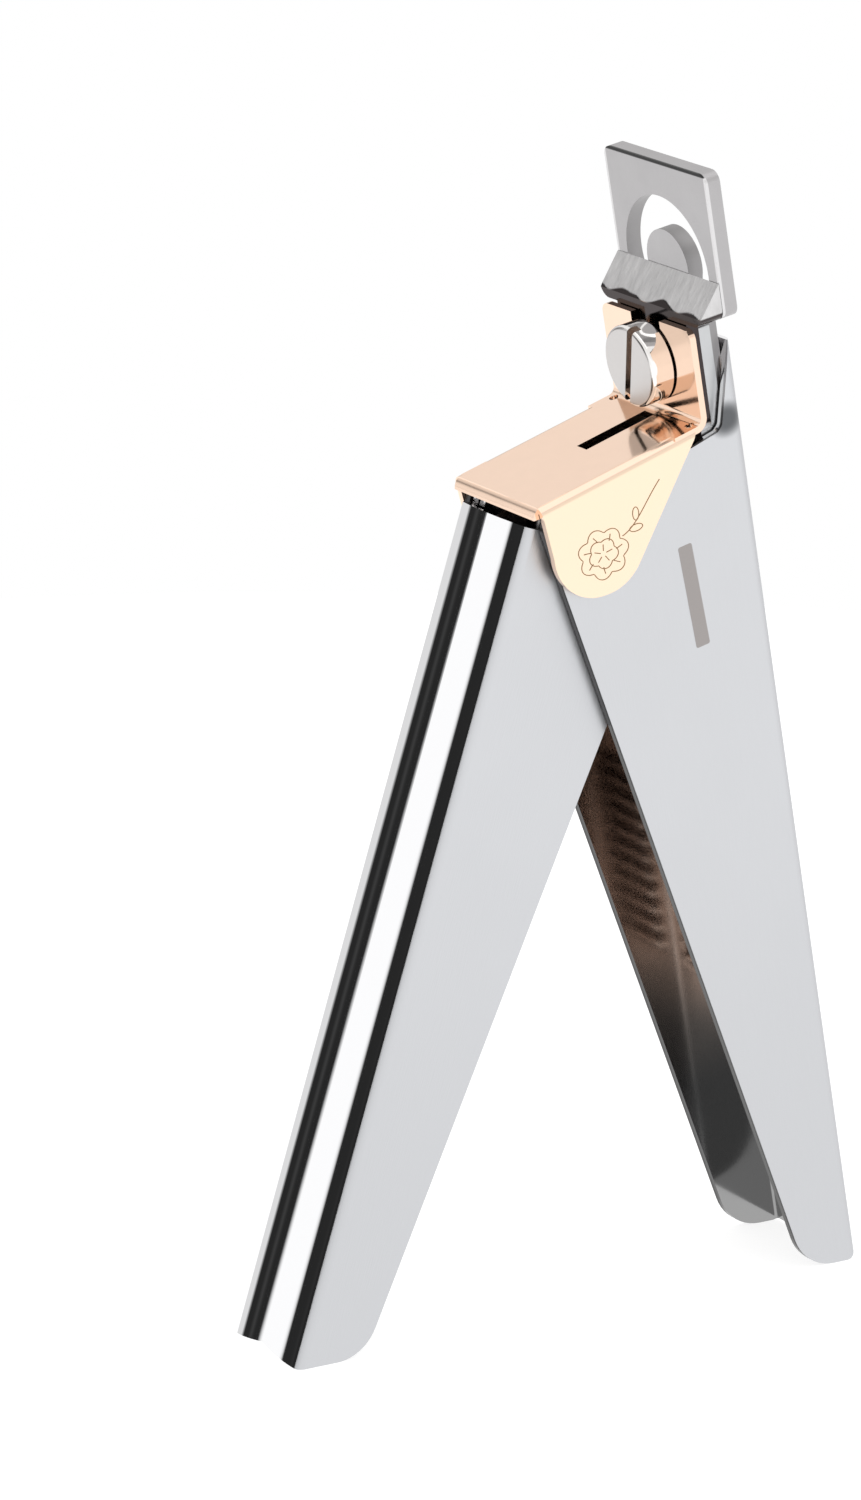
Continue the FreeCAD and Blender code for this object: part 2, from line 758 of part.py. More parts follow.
def make_carriage():
    body = new_body("slide_carriage", BODY_FRAME)
    half = f"{cell('slide_width')} / 2"
    block = new_sketch(body, "YZ_Plane", "block_outline", slide_front())
    box_loop(block, f"-{half}", half, cell("slide_low"), cell("slide_shoulder"), cell("block_corner"))
    pad(body, block, cell("slide_thick"))
    lap = new_sketch(body, "YZ_Plane", "lap_outline", lap_face())
    foot = f"{cell('slide_shoulder')} - {cell('overlap')}"
    box_loop(lap, f"-{half}", half, foot, cell("slide_high"), cell("lap_corner"))
    pad(body, lap, cell("lap_thick"))
    window = new_sketch(body, "YZ_Plane", "nose_window")
    side = f"{cell('window_width')} / 2"
    turn = f"({cell('nose_angle')} - {cell('body_lean')} - {cell('lever_lean')})"
    middle = f"{cell('nose_reach')} * sin({turn})"
    tall = f"{cell('window_height')} / 2"
    box_loop(window, f"-{side}", side, f"{middle} - {tall}", f"{middle} + {tall}")
    through_cut(body, window)
    tapped = new_sketch(body, "YZ_Plane", "screw_hole")
    ring(tapped, "0", cell("screw_height"), cell("shank_radius"))
    through_cut(body, tapped)


def make_blade():
    body = new_body("blade", BODY_FRAME)
    wedge = new_sketch(body, "XZ_Plane", "blade_wedge")
    loop(wedge, [
        (slide_back(), cell("blade_low")),
        (slide_back(), cell("edge_height")),
        (slide_front(), cell("bevel_low")),
        (slide_front(), cell("blade_low")),
    ])
    wide = pad(body, wedge, cell("head_width"), True)
    half_width = sheet.head_width / 2
    round_edges(body, wide, cell("blade_corner"),
                lambda at, edge: abs(abs(at.y) - half_width) < 0.01
                and abs(at.z - sheet.blade_low) < 0.01)
    shank = new_sketch(body, "YZ_Plane", "shank_outline", slide_front())
    half = f"{cell('slide_width')} / 2"
    top = f"{cell('blade_low')} + {cell('shank_overlap')}"
    box_loop(shank, f"-{half}", half, cell("shank_low"), top, cell("shank_corner"))
    pad(body, shank, f"{cell('slide_thick')} - {cell('lap_thick')}")
    hole = new_sketch(body, "YZ_Plane", "blade_hole")
    ring(hole, "0", cell("screw_height"), cell("shank_radius"))
    through_cut(body, hole)


def collar_front():
    return f"{slide_front()} - {cell('collar_thick')}"


def make_screw():
    """Slotted screw, turned about its own axis, with its head in front of the cap's upright."""
    body = new_body("clamp_screw", BODY_FRAME)
    half = new_sketch(body, "XZ_Plane", "screw_half")
    axis = cell("screw_height")
    face = f"{collar_front()} - {cell('screw_head_thick')}"
    rim = f"{axis} + {cell('screw_head_radius')}"
    loop(half, [
        (face, axis),
        (face, rim, cell("screw_head_edge")),
        (collar_front(), rim),
        (collar_front(), f"{axis} + {cell('shank_radius')}"),
        (f"{slide_back()} - {cell('shank_end')}", f"{axis} + {cell('shank_radius')}"),
        (f"{slide_back()} - {cell('shank_end')}", axis),
    ])
    centre = sheet.screw_height
    middle_line = Part.LineSegment(FreeCAD.Vector(0, centre, 0), FreeCAD.Vector(1, centre, 0))
    line = half.addGeometry(middle_line, True)
    pin_down(half, line, 1, "0", axis)
    pin_down(half, line, 2, "1", axis)
    turned = body.newObject("PartDesign::Revolution", "screw_turned")
    turned.Profile = half
    turned.ReferenceAxis = (half, ["Axis0"])
    turned.Angle = 360
    doc.recompute()
    slot = new_sketch(body, "YZ_Plane", "screw_slot", f"{face} + {cell('screw_slot_depth')}")
    lean = cell("screw_slot_turn")
    reach = f"({cell('screw_head_radius')} + {cell('cut_spare')})"
    wide = f"({cell('screw_slot_width')} / 2)"
    corners = []
    for up, out in ((-1, -1), (1, -1), (1, 1), (-1, 1)):
        y = f"{up} * {reach} * -sin({lean}) + {out} * {wide} * cos({lean})"
        z = f"{axis} + {up} * {reach} * cos({lean}) + {out} * {wide} * sin({lean})"
        corners.append((y, z))
    loop(slot, corners)
    deep_cut(body, slot, f"{cell('screw_slot_depth')} + {cell('cut_spare')}")


def make_collar():
    body = new_body("guide_collar", BODY_FRAME)
    sketch = new_sketch(body, "YZ_Plane", "collar_ring", collar_front())
    ring(sketch, "0", cell("screw_height"), cell("collar_radius"))
    ring(sketch, "0", cell("screw_height"), cell("shank_radius"))
    pad(body, sketch, cell("collar_thick"))


# Cap bracket --------------------------------------------------------------------------------------

def cap_top(x):
    """Height of the cap's outer surface at a given x."""
    return f"({cell('cap_rise')} + {cell('cap_slope')} * ({x}))"


def cap_under(x):
    return f"({cell('cap_rise')} + {cell('cap_slope')} * ({x}) - {cell('cap_gauge')})"


def make_cap():
    """Bracket of one folded sheet: top, two side flaps, rolled front lip and slotted upright."""
    body = new_body("cap_bracket", BODY_FRAME)
    flap_round, turn = cell("flap_round"), cell("flap_back_angle")
    front, back = cell("flap_front"), cell("upright_front")
    flaps = new_sketch(body, "XZ_Plane", "flap_outline")
    low = f"-{flap_round}"
    slant = f"{flap_round} * (1 + sin({turn})) / cos({turn})"
    corner = f"{cell('round_share')} * {flap_round}"
    high = f"({cap_top(cell('flap_back'))} - {cell('flap_back_drop')})"
    loop(flaps, [
        (cell("cap_front"), cap_top(cell("cap_front"))),
        (front, "0"),
        (front, low, corner),
        (slant, low, corner),
        (f"({flap_round} - {high} * sin({turn})) / cos({turn})", high),
        (cell("cap_back"), cap_top(cell("cap_back"))),
    ])
    shell = pad(body, flaps, cell("cap_width"), True)
    half = sheet.cap_width / 2

    def long_top_edge(at, edge):
        on_side = abs(abs(at.y) - half) < 0.01
        on_top = abs(at.z - sheet.cap_rise - sheet.cap_slope * at.x) < 0.05
        return on_side and on_top and edge.Length > 10

    round_edges(body, shell, cell("cap_fold"), long_top_edge)
    hollow = new_sketch(body, "XZ_Plane", "cap_hollow")
    ahead, behind = cell("hollow_front"), cell("hollow_back")
    loop(hollow, [
        (ahead, ahead),
        (behind, ahead),
        (behind, cap_under(behind)),
        (ahead, cap_under(ahead)),
    ])
    deep_cut(body, hollow, f"{cell('cap_width')} - 2 * {cell('cap_gauge')}", True)
    gauge = cell("cap_gauge")
    lip = new_sketch(body, "XZ_Plane", "lip_outline")
    lip_front, lip_back = cell("lip_front"), cell("lip_back")
    lip_inside = f"{lip_front} + {gauge}"
    loop(lip, [
        (lip_back, cap_under(lip_back)),
        (lip_back, cap_top(lip_back)),
        (lip_front, cap_top(lip_front), cell("lip_round")),
        (cell("lip_foot"), cell("lip_low")),
        (f"{cell('lip_foot')} + {gauge}", cell("lip_low")),
        (lip_inside, cap_under(lip_inside), f"{cell('lip_round')} - {gauge}"),
    ])
    pad(body, lip, cell("lip_width"), True)
    upright = new_sketch(body, "XZ_Plane", "upright_outline")
    rear = f"{back} + {gauge}"
    bend, foot = cell("upright_bend"), cell("upright_foot")
    loop(upright, [
        (foot, cap_under(foot)),
        (rear, cap_under(rear), f"{bend} + {gauge}"),
        (rear, cell("upright_high")),
        (back, cell("upright_high")),
        (back, cap_top(back), bend),
        (foot, cap_top(foot)),
    ])
    stand = pad(body, upright, cell("upright_width"), True)
    side = sheet.upright_width / 2
    round_edges(body, stand, cell("upright_corner"),
                lambda at, edge: abs(abs(at.y) - side) < 0.01
                and abs(at.z - sheet.upright_high) < 0.01)
    guide = new_sketch(body, "YZ_Plane", "guide_slot")
    wide = f"{cell('guide_width')} / 2"
    above = f"{cell('upright_high')} + {cell('overlap')}"
    box_loop(guide, f"-{wide}", wide, cell("guide_low"), above, cell("guide_corner"))
    through_cut(body, guide)
    slot = new_sketch(body, "XY_Plane", "cap_slot")
    narrow = f"{cell('cap_slot_width')} / 2"
    box_loop(slot, cell("cap_slot_front"), cell("cap_slot_back"), f"-{narrow}", narrow)
    through_cut(body, slot)
    relief = new_sketch(body, "XY_Plane", "bend_relief")
    for sign in ("", "-"):
        ring(relief, cell("relief_x"), f"{sign}{cell('relief_y')}", cell("relief_radius"))
    through_cut(body, relief)


# Build, test and write ----------------------------------------------------------------------------

def check_document():
    doc.recompute()
    for item in doc.Objects:
        if "Invalid" in item.State or "Error" in item.State:
            raise RuntimeError(f"{item.Label} failed: {item.State}")
    for item in SUBPARTS:
        if item.Shape.isNull() or not item.Shape.isValid() or not item.Shape.Solids:
            raise RuntimeError(f"{item.Label} has no valid solid")


def main():
    make_body_handle()
    make_lever_handle()
    make_drive_arm()
    make_pin()
    make_bush("spacer_near", -1)
    make_bush("spacer_far", 1)
    make_spring()
    make_head_plate()
    make_rivets()
    make_carriage()
    make_blade()
    make_screw()
    make_collar()
    make_cap()
    check_document()
    os.makedirs("parts", exist_ok=True)
    whole = FreeCAD.BoundBox()
    for item in SUBPARTS:
        item.Shape.exportStep(f"parts/{item.Label}.step")
        whole.add(item.Shape.BoundBox)
        print(f"{item.Label:16s} {item.Shape.Volume:9.1f} mm3, {len(item.Shape.Solids)} solid(s)")
    print("box x %.3f %.3f  y %.3f %.3f  z %.3f %.3f" % (
        whole.XMin, whole.XMax, whole.YMin, whole.YMax, whole.ZMin, whole.ZMax))


main()
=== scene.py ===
import json
import math

import bpy
from mathutils import Matrix, Vector


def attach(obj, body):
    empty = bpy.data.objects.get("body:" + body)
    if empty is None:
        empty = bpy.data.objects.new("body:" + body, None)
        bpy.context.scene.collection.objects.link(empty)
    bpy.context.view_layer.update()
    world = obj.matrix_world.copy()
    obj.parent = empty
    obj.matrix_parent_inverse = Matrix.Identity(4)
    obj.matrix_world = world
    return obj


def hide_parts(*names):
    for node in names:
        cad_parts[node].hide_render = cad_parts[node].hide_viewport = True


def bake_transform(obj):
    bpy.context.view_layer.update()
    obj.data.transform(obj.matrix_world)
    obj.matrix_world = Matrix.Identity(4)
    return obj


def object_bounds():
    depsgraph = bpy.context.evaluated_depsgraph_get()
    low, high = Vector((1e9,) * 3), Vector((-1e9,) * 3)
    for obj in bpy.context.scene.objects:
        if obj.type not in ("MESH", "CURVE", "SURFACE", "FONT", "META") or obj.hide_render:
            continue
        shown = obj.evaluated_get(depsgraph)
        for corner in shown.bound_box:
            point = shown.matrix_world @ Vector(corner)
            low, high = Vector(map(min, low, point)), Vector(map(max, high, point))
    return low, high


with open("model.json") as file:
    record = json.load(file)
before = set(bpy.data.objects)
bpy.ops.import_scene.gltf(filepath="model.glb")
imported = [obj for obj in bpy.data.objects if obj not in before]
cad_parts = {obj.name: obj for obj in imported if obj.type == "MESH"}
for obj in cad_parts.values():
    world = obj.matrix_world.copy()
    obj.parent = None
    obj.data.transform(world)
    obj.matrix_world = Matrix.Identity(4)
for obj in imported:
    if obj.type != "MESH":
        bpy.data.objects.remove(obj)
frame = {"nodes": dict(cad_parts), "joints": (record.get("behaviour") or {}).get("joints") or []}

# Nail-tip cutter, open and standing on its toes. Lengths are in metres, in the frame of the CAD model,
# except where a name or a comment says millimetres.
MM = 0.001
CAD_LOW, CAD_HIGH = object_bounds()

# The hinge, and the two handles' frames, which share it as their origin: x points out of the outer
# handle's back (or from the inner handle's back towards the outer one) and z runs up the handle.
HINGE = Vector(next(j for j in frame["joints"] if j["name"] == "lever_hinge")["pos_m"])
BODY_LEAN = math.radians(11.8)
LEVER_LEAN = math.radians(16.24)
BODY_FRAME = Matrix.Translation(HINGE) @ Matrix.Rotation(-BODY_LEAN, 4, "Y")
LEVER_FRAME = Matrix.Translation(HINGE) @ Matrix.Rotation(LEVER_LEAN, 4, "Y")


# Node helpers -------------------------------------------------------------------------------------

class Nodes:
    """Short calls for building one material's node tree."""

    def __init__(self, name):
        self.material = bpy.data.materials.new(name)
        self.material.use_nodes = True
        self.tree = self.material.node_tree
        self.tree.nodes.clear()
        self.shader = self.tree.nodes.new("ShaderNodeBsdfPrincipled")
        output = self.tree.nodes.new("ShaderNodeOutputMaterial")
        self.tree.links.new(self.shader.outputs["BSDF"], output.inputs["Surface"])
        self.place = self.add("ShaderNodeTexCoord").outputs["Object"]

    def add(self, kind, **settings):
        node = self.tree.nodes.new(kind)
        for key, value in settings.items():
            setattr(node, key, value)
        return node

    def feed(self, socket, value):
        """Links an output to a socket, or sets the socket to a plain value."""
        if isinstance(value, bpy.types.NodeSocket):
            self.tree.links.new(value, socket)
        else:
            socket.default_value = value

    def paint(self, socket, colour):
        """Links a colour output to a socket, or sets the socket to a plain colour."""
        self.feed(socket, colour if isinstance(colour, bpy.types.NodeSocket) else (*colour, 1))

    def math(self, operation, *values):
        node = self.add("ShaderNodeMath", operation=operation)
        for socket, value in zip(node.inputs, values):
            self.feed(socket, value)
        return node.outputs[0]

    def times(self, first, *others):
        """Product of two or more numbers."""
        result = first
        for other in others:
            result = self.math("MULTIPLY", result, other)
        return result

    def rest_of(self, share):
        """What a share leaves of 1."""
        return self.math("SUBTRACT", 1.0, share)

    def step(self, value, low, high):
        """Rises smoothly from 0 at low to 1 at high."""
        node = self.add("ShaderNodeMapRange", interpolation_type="SMOOTHSTEP")
        self.feed(node.inputs["Value"], value)
        node.inputs["From Min"].default_value = low
        node.inputs["From Max"].default_value = high
        return node.outputs["Result"]

    def drop(self, value, low, high):
        """Falls smoothly from 1 at low to 0 at high."""
        return self.rest_of(self.step(value, low, high))

    def local(self, matrix):
        """Coordinates in a handle's frame, in millimetres: the vector, and its three parts."""
        inverse = matrix.inverted()
        turned = self.add("ShaderNodeMapping", vector_type="POINT")
        turned.inputs["Location"].default_value = inverse.to_translation() / MM
        turned.inputs["Rotation"].default_value = inverse.to_euler()
        turned.inputs["Scale"].default_value = (1 / MM, 1 / MM, 1 / MM)
        self.feed(turned.inputs["Vector"], self.place)
        split = self.add("ShaderNodeSeparateXYZ")
        self.feed(split.inputs[0], turned.outputs[0])
        return turned.outputs[0], split.outputs

    def facing(self):
        """The direction that the surface faces, as three outputs."""
        split = self.add("ShaderNodeSeparateXYZ")
        self.feed(split.inputs[0], self.add("ShaderNodeTexCoord").outputs["Normal"])
        return split.outputs

    def blend(self, factor, first, second):
        """Mixes two numbers."""
        node = self.add("ShaderNodeMix", data_type="FLOAT")
        self.feed(node.inputs[0], factor)
        self.feed(node.inputs[2], first)
        self.feed(node.inputs[3], second)
        return node.outputs[0]

    def tint(self, factor, first, second):
        """Mixes two colours."""
        node = self.add("ShaderNodeMix", data_type="RGBA")
        self.feed(node.inputs[0], factor)
        self.paint(node.inputs[6], first)
        self.paint(node.inputs[7], second)
        return node.outputs[2]

    def noise(self, vector, scale, detail=3.0, stretch=(1, 1, 1), rough=0.5):
        spread = self.add("ShaderNodeMapping", vector_type="POINT")
        spread.inputs["Scale"].default_value = stretch
        self.feed(spread.inputs["Vector"], vector)
        node = self.add("ShaderNodeTexNoise")
        self.feed(node.inputs["Vector"], spread.outputs[0])
        node.inputs["Scale"].default_value = scale
        node.inputs["Detail"].default_value = detail
        node.inputs["Roughness"].default_value = rough
        return node.outputs["Fac"]

    def bump(self, height, distance, strength=1.0):
        node = self.add("ShaderNodeBump")
        node.inputs["Strength"].default_value = strength
        node.inputs["Distance"].default_value = distance
        self.feed(node.inputs["Height"], height)
        self.feed(self.shader.inputs["Normal"], node.outputs[0])

    def finish(self, colour, roughness, metallic=1.0):
        self.paint(self.shader.inputs["Base Color"], colour)
        self.feed(self.shader.inputs["Roughness"], roughness)
        self.feed(self.shader.inputs["Metallic"], metallic)
        return self.material


def shade(colour, share):
    """A colour at a share of its brightness."""
    return tuple(share * part for part in colour)


# Metals -------------------------------------------------------------------------------------------
# Places are in millimetres in a handle's frame. A pair says where a smooth change begins and ends.

SATIN = (0.645, 0.653, 0.673)
MIRROR = (0.93, 0.93, 0.94)
ROSE_GOLD = (0.96, 0.715, 0.56)
FLAP_LIT_GOLD = (0.965, 0.775, 0.585)
# Near black on the sheared edges: painted shade.
SHEARED_EDGE_SHADE = (0.012, 0.011, 0.011)
TOE_SHADE_GREY = (0.30, 0.30, 0.30)
GROOVE_SHADE = (0.10, 0.08, 0.07)
CREST_GLINT = (0.95, 0.90, 0.86)
NECK_REFLECTION_DARK = (0.05, 0.055, 0.06)

# Changes up a handle; the side fade and the toe and inside changes are painted shade.
SIDE_SHADE_FADE = (-95.0, -20.0)
TOE_SHADE_CHANGE = (-80.0, -68.0)
INSIDE_SHADE_CHANGE = (-62.0, -44.0)
NECK_POLISH = (1.0, 5.0)
NECK_EDGE = (4.0, 6.0)

# Painted dark reflection beside the drawn corner of the outer handle's neck: its middle and half size,
# in x and z.
NECK_REFLECTION = (19.6, 8.6)
NECK_REFLECTION_SIZE = (2.5, 2.2)

# Pressed ridges inside the outer handle, with painted shade in their grooves and painted glints on their
# crests.
GRIP_COUNT = 11
GRIP_PITCH = 2.3
GRIP_FIRST = -45.5
GRIP_LAST = GRIP_FIRST - GRIP_PITCH * (GRIP_COUNT - 1)
GRIP_FADE = 2.5
GRIP_ENDS = (4.6, 6.0)
GRIP_GLINTS = (3.4, 4.4)

# Head plate: half its width, its front face and its top.
PLATE_HALF = 10.2
PLATE_FRONT = 19.93
PLATE_TOP = 38.2

BLADE_BORDER = 21.0
SLOT_FLOOR_SHADE = (12.9, 13.1)
FLAP_EDGE = (8.9, 9.15)


def grip_waves(n, aside, z):
    """Where the pressed ridges are, and their wave: 1 on a crest, -1 in a groove."""
    turn = math.tau / GRIP_PITCH
    wave = n.math("COSINE", n.math("MULTIPLY_ADD", z, turn, -GRIP_FIRST * turn))
    within = n.times(n.step(z, GRIP_LAST - GRIP_FADE, GRIP_LAST),
                     n.drop(z, GRIP_FIRST, GRIP_FIRST + GRIP_FADE),
                     n.drop(aside, *GRIP_ENDS))
    return within, wave


def neck_reflection(n, x, z):
    """Soft oval mask of the painted dark reflection by the neck: 1 in its middle, 0 outside."""
    away = [n.math("POWER", n.math("MULTIPLY_ADD", place, 1 / size, -middle / size), 2.0)
            for place, middle, size in zip((x, z), NECK_REFLECTION, NECK_REFLECTION_SIZE)]
    return n.drop(n.math("ADD", *away), 0.1, 1.3)


def handle_metal(name, matrix, satin_from, edge_from, back_side, inside, outer):
    """Folded steel sheet: satin side plates painted darker towards the toes as painted shade, a
    mirror-polished back, an inside painted darker as painted shade, sheared edges painted near black as
    painted shade.
    """
    n = Nodes(name)
    vector, (x, y, z) = n.local(matrix)
    facing_x, facing_y, _ = n.facing()
    aside = n.math("ABSOLUTE", y)
    side = n.step(aside, satin_from, satin_from + 0.2)
    back = n.step(n.times(facing_x, back_side), 0.25, 0.45)
    front = n.rest_of(back)
    # The sheet's sheared edge faces are painted near black and less metallic: painted shade of the gap
    # beside them.
    sheared = n.times(n.drop(n.math("ABSOLUTE", facing_y), 0.3, 0.7), front,
                      n.step(aside, edge_from, edge_from + 0.1), n.drop(z, *NECK_EDGE))
    mottle = n.noise(vector, 0.06, 2.0)
    grain = n.noise(vector, 1.0, 4.0, (6.0, 1.0, 0.35))
    scuffs = n.noise(vector, 1.0, 2.0, (0.5, 1.0, 0.12))
    satin = n.tint(mottle, shade(SATIN, 0.95), SATIN)
    # Side plates painted darker towards the toes: painted shade.
    satin = n.tint(n.step(z, *SIDE_SHADE_FADE), shade(SATIN, 0.92), satin)
    # Inside painted grey near the toes and darker again higher up: painted shade.
    depth = n.tint(n.step(z, *TOE_SHADE_CHANGE), TOE_SHADE_GREY, inside)
    depth = n.tint(n.step(z, *INSIDE_SHADE_CHANGE), depth, shade(inside, 0.77))
    relief = n.times(grain, side, 0.1)
    if outer:
        within, wave = grip_waves(n, aside, z)
        within = n.times(within, front)
        # Grooves painted dark brown as painted shade; crests near the ridge ends painted bright as
        # painted glints.
        groove = n.times(within, n.math("MULTIPLY_ADD", wave, -0.4, 0.4))
        crest = n.times(within, n.step(wave, 0.5, 0.95), n.step(aside, *GRIP_GLINTS))
        depth = n.tint(groove, depth, GROOVE_SHADE)
        depth = n.tint(crest, depth, CREST_GLINT)
        relief = n.math("ADD", relief, n.times(wave, within))
        # Painted dark reflection on the side plate beside the neck corner.
        satin = n.tint(n.times(neck_reflection(n, x, z), 0.85), satin, NECK_REFLECTION_DARK)
    depth = n.tint(n.step(z, *NECK_POLISH), depth, MIRROR)
    colour = n.tint(side, n.tint(back, depth, MIRROR), satin)
    colour = n.tint(sheared, colour, SHEARED_EDGE_SHADE)
    satin_rough = n.math("MULTIPLY_ADD", grain, 0.08, 0.38)
    mirror_rough = n.math("MULTIPLY_ADD", scuffs, 0.04, 0.01)
    inner_rough = n.math("MULTIPLY_ADD", scuffs, 0.08, 0.06)
    roughness = n.blend(side, n.blend(back, inner_rough, mirror_rough), satin_rough)
    n.bump(relief, 0.2 * MM, 0.7)
    return n.finish(colour, roughness, n.rest_of(n.times(sheared, 0.9)))


def plain_steel(name, colour, low, high, stretch):
    """Steel with drawn or ground marks along one direction; low and high are its roughness."""
    n = Nodes(name)
    vector, _ = n.local(BODY_FRAME)
    grain = n.noise(vector, 1.6, 5.0, stretch)
    n.bump(grain, 0.02 * MM, 0.3)
    tone = n.tint(n.noise(vector, 0.3, 2.0), shade(colour, 0.9), colour)
    return n.finish(tone, n.math("MULTIPLY_ADD", grain, high - low, low))


def plate_steel():
    """Ground plate: a narrow chamfer along its top painted dark as a painted reflection, corners painted
    bright as painted highlights, walls in the opening painted duller as painted shade.
    """
    n = Nodes("plate_steel")
    vector, (x, y, z) = n.local(BODY_FRAME)
    aside = n.math("ABSOLUTE", y)
    # Walls of the opening, painted darker: painted shade.
    wall_shade = n.times(n.drop(n.math("ABSOLUTE", n.facing()[0]), 0.5, 0.7),
                   n.drop(aside, PLATE_HALF - 1.4, PLATE_HALF - 1.0),
                   n.drop(z, PLATE_TOP - 2.2, PLATE_TOP - 1.7))
    # Near and far front corners, painted bright: painted highlight.
    corner = n.times(n.step(aside, PLATE_HALF - 0.4, PLATE_HALF - 0.3),
                     n.drop(x, PLATE_FRONT + 0.32, PLATE_FRONT + 0.42))
    # Top chamfer, painted near black: painted dark reflection.
    chamfer = n.times(n.step(z, PLATE_TOP - 0.45, PLATE_TOP - 0.30),
                      n.drop(x, PLATE_FRONT + 0.17, PLATE_FRONT + 0.32))
    grain = n.noise(vector, 1.6, 5.0, (1, 5, 0.6))
    tone = n.tint(n.noise(vector, 0.25, 2.0), (0.44, 0.43, 0.435), (0.49, 0.48, 0.485))
    tone = n.tint(n.times(wall_shade, 0.5), tone, (0.16, 0.155, 0.155))
    tone = n.tint(corner, tone, (0.72, 0.71, 0.715))
    tone = n.tint(chamfer, tone, (0.03, 0.03, 0.03))
    n.bump(grain, 0.02 * MM, 0.3)
    return n.finish(tone, n.math("MULTIPLY_ADD", grain, 0.12, 0.30))


def blade_steel():
    """Hand-ground bevel with upright strokes, above a polished front painted near black as a painted
    dark reflection, with a wavy border.
    """
    n = Nodes("blade_steel")
    vector, (_, _, z) = n.local(BODY_FRAME)
    strokes = n.noise(vector, 1.0, 4.0, (0.5, 1.3, 0.16), 0.6)
    swirl = n.noise(vector, 0.45, 3.0)
    wave = n.math("MULTIPLY_ADD", n.noise(vector, 0.26, 0.0, (0.01, 1, 0.01)), 2.0, BLADE_BORDER)
    ground = n.step(n.math("SUBTRACT", z, wave), -0.08, 0.12)
    tone = n.tint(strokes, (0.40, 0.395, 0.40), (0.93, 0.92, 0.92))
    tone = n.tint(n.times(swirl, 0.5), tone, (0.61, 0.60, 0.60))
    # Below the wavy border the polished front is painted near black: painted dark reflection.
    tone = n.tint(ground, (0.06, 0.05, 0.05), tone)
    n.bump(n.times(strokes, ground), 0.1 * MM, 0.8)
    return n.finish(tone, n.blend(ground, 0.12, n.math("MULTIPLY_ADD", strokes, 0.25, 0.30)))


def screw_steel():
    """Turned head: fine rings on its face, a polished rim, a slot whose floor is painted dark as painted
    shade.
    """
    n = Nodes("screw_steel")
    vector, (x, _, _) = n.local(BODY_FRAME)
    face = n.step(n.times(n.facing()[0], -1.0), 0.80, 0.93)
    rings = n.noise(vector, 1.8, 4.0, (4, 1, 1))
    tone = n.tint(rings, (0.585, 0.565, 0.555), (0.62, 0.60, 0.59))
    tone = n.tint(face, (0.90, 0.88, 0.86), tone)
    # Slot floor painted dark brown: painted shade.
    tone = n.tint(n.times(n.step(x, *SLOT_FLOOR_SHADE), face), tone, (0.16, 0.12, 0.10))
    return n.finish(tone, n.blend(face, 0.05, n.math("MULTIPLY_ADD", rings, 0.06, 0.26)))


def rose_gold():
    """Polished rose-gold plating with the faint waviness of folded sheet, painted paler on the flaps as
    painted light.
    """
    n = Nodes("rose_gold")
    vector, (_, y, _) = n.local(BODY_FRAME)
    haze = n.noise(vector, 0.6, 3.0)
    n.bump(n.noise(vector, 0.12, 1.0), 0.2 * MM, 0.12)
    tone = n.tint(haze, shade(ROSE_GOLD, 0.96), ROSE_GOLD)
    # The flaps get a paler copy of the plating colour: painted light.
    tone = n.tint(n.step(n.math("ABSOLUTE", y), *FLAP_EDGE), tone, FLAP_LIT_GOLD)
    return n.finish(tone, n.math("MULTIPLY_ADD", haze, 0.05, 0.09))


def etched_metal(name, colour, hatch):
    """Etched or engraved mark: dull, with fine uneven hatching."""
    n = Nodes(name)
    vector, _ = n.local(BODY_FRAME)
    lines = n.noise(vector, hatch, 4.0, (0.4, 1, 3.0))
    tone = n.tint(lines, shade(colour, 0.8), colour)
    return n.finish(tone, n.math("MULTIPLY_ADD", lines, 0.2, 0.5))


def dress(material, *nodes):
    """Gives CAD nodes their material."""
    for node in nodes:
        thing = frame["nodes"][node]
        thing.data.materials.clear()
        thing.data.materials.append(material)


def soften(node, width):
    """Breaks a CAD node's sharp edges by a small bevel in millimetres, so that they catch the light."""
    bevel = frame["nodes"][node].modifiers.new("soft_edges", "BEVEL")
    bevel.width = width * MM
    bevel.segments = 2
    bevel.limit_method = "ANGLE"
    bevel.angle_limit = math.radians(50)
    bevel.use_clamp_overlap = True


def dress_all():
    # The inside colours, the fourth arguments, are darker copies of the steel: painted shade.
    dress(handle_metal("outer_handle_steel", BODY_FRAME, 7.75, 7.0, 1.0, (0.65, 0.575, 0.53), True),
          "body_handle")
    dress(handle_metal("inner_handle_steel", LEVER_FRAME, 6.35, 5.95, -1.0, (0.45, 0.44, 0.44), False),
          "lever_handle")
    dress(plate_steel(), "head_plate")
    dress(blade_steel(), "blade")
    dress(screw_steel(), "clamp_screw")
    dress(rose_gold(), "cap_bracket")
    dress(plain_steel("inner_steel", (0.60, 0.61, 0.62), 0.25, 0.4, (1, 3, 1)),
          "pivot_pin", "spacer_near", "spacer_far", "head_rivets", "slide_carriage", "guide_collar")
    dress(plain_steel("arm_steel", (0.10, 0.09, 0.09), 0.3, 0.45, (1, 3, 1)), "drive_arm")
    for node, width in (("head_plate", 0.15), ("clamp_screw", 0.08)):
        soften(node, width)


# Wire pieces --------------------------------------------------------------------------------------

